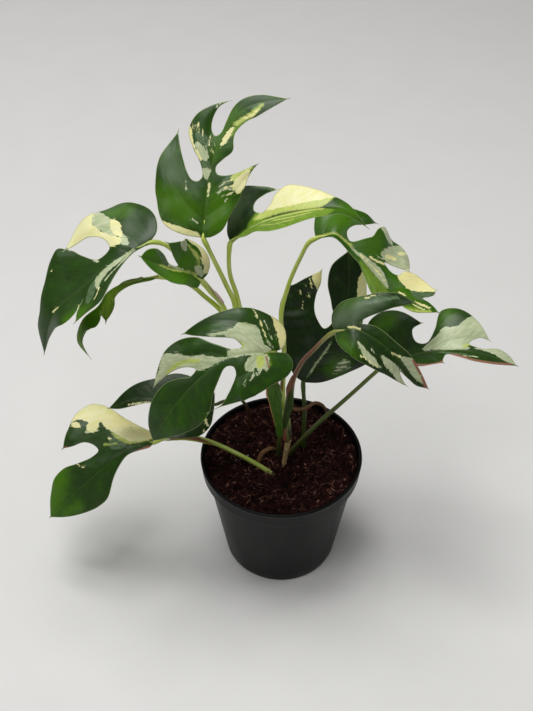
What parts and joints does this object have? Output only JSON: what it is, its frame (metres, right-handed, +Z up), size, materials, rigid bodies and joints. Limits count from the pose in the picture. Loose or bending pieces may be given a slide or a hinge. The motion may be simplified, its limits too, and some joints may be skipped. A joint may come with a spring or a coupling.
{
  "type": "potted mini monstera plant",
  "caption": "Potted tetrasperma vine: split, cream-marked leaves on slim petioles over a round black nursery pot filled with coir.",
  "frame": {"origin": "centre of the pot's base, on the surface it stands on", "axes": "+Z up, +X to the right as seen from the plant's front, +Y away from the front"},
  "size_m": [0.3324, 0.1234, 0.3718],
  "materials": {
    "blade": "waxy green leaf with cream, grey-green and yellow-green sectors, satin gloss",
    "petiole": "smooth yellow-green stalk, satin",
    "stem": "smooth green stem, satin",
    "sheath": "papery green sheath with brown dried margins, matt",
    "cane": "dry tan cane, matt",
    "root": "rough brown aerial root, matt",
    "coir": "loose dark red-brown coconut fibre, matt",
    "pot": "black moulded plastic, satin"
  },
  "bodies": {
    "root": {"pot": "pot", "blade_top": "blade", "petiole_top": "petiole", "blade_cream": "blade", "petiole_cream": "petiole", "blade_upper_right": "blade", "petiole_upper_right": "petiole", "blade_upper_left": "blade", "petiole_upper_left": "petiole", "blade_young": "blade", "petiole_young": "petiole", "blade_hanging": "blade", "petiole_hanging": "petiole", "blade_front": "blade", "petiole_front": "petiole", "blade_rear_low": "blade", "petiole_rear_low": "petiole", "blade_lower_left": "blade", "petiole_lower_left": "petiole", "blade_rear": "blade", "petiole_rear": "petiole", "blade_mid_right": "blade", "petiole_mid_right": "petiole", "blade_lower_right": "blade", "petiole_lower_right": "petiole", "cane": "cane", "stem": "stem", "root_near": "root", "root_far": "root", "sheath_front": "sheath", "sheath_mid": "sheath", "coir": "coir"}
  },
  "joints": []
}
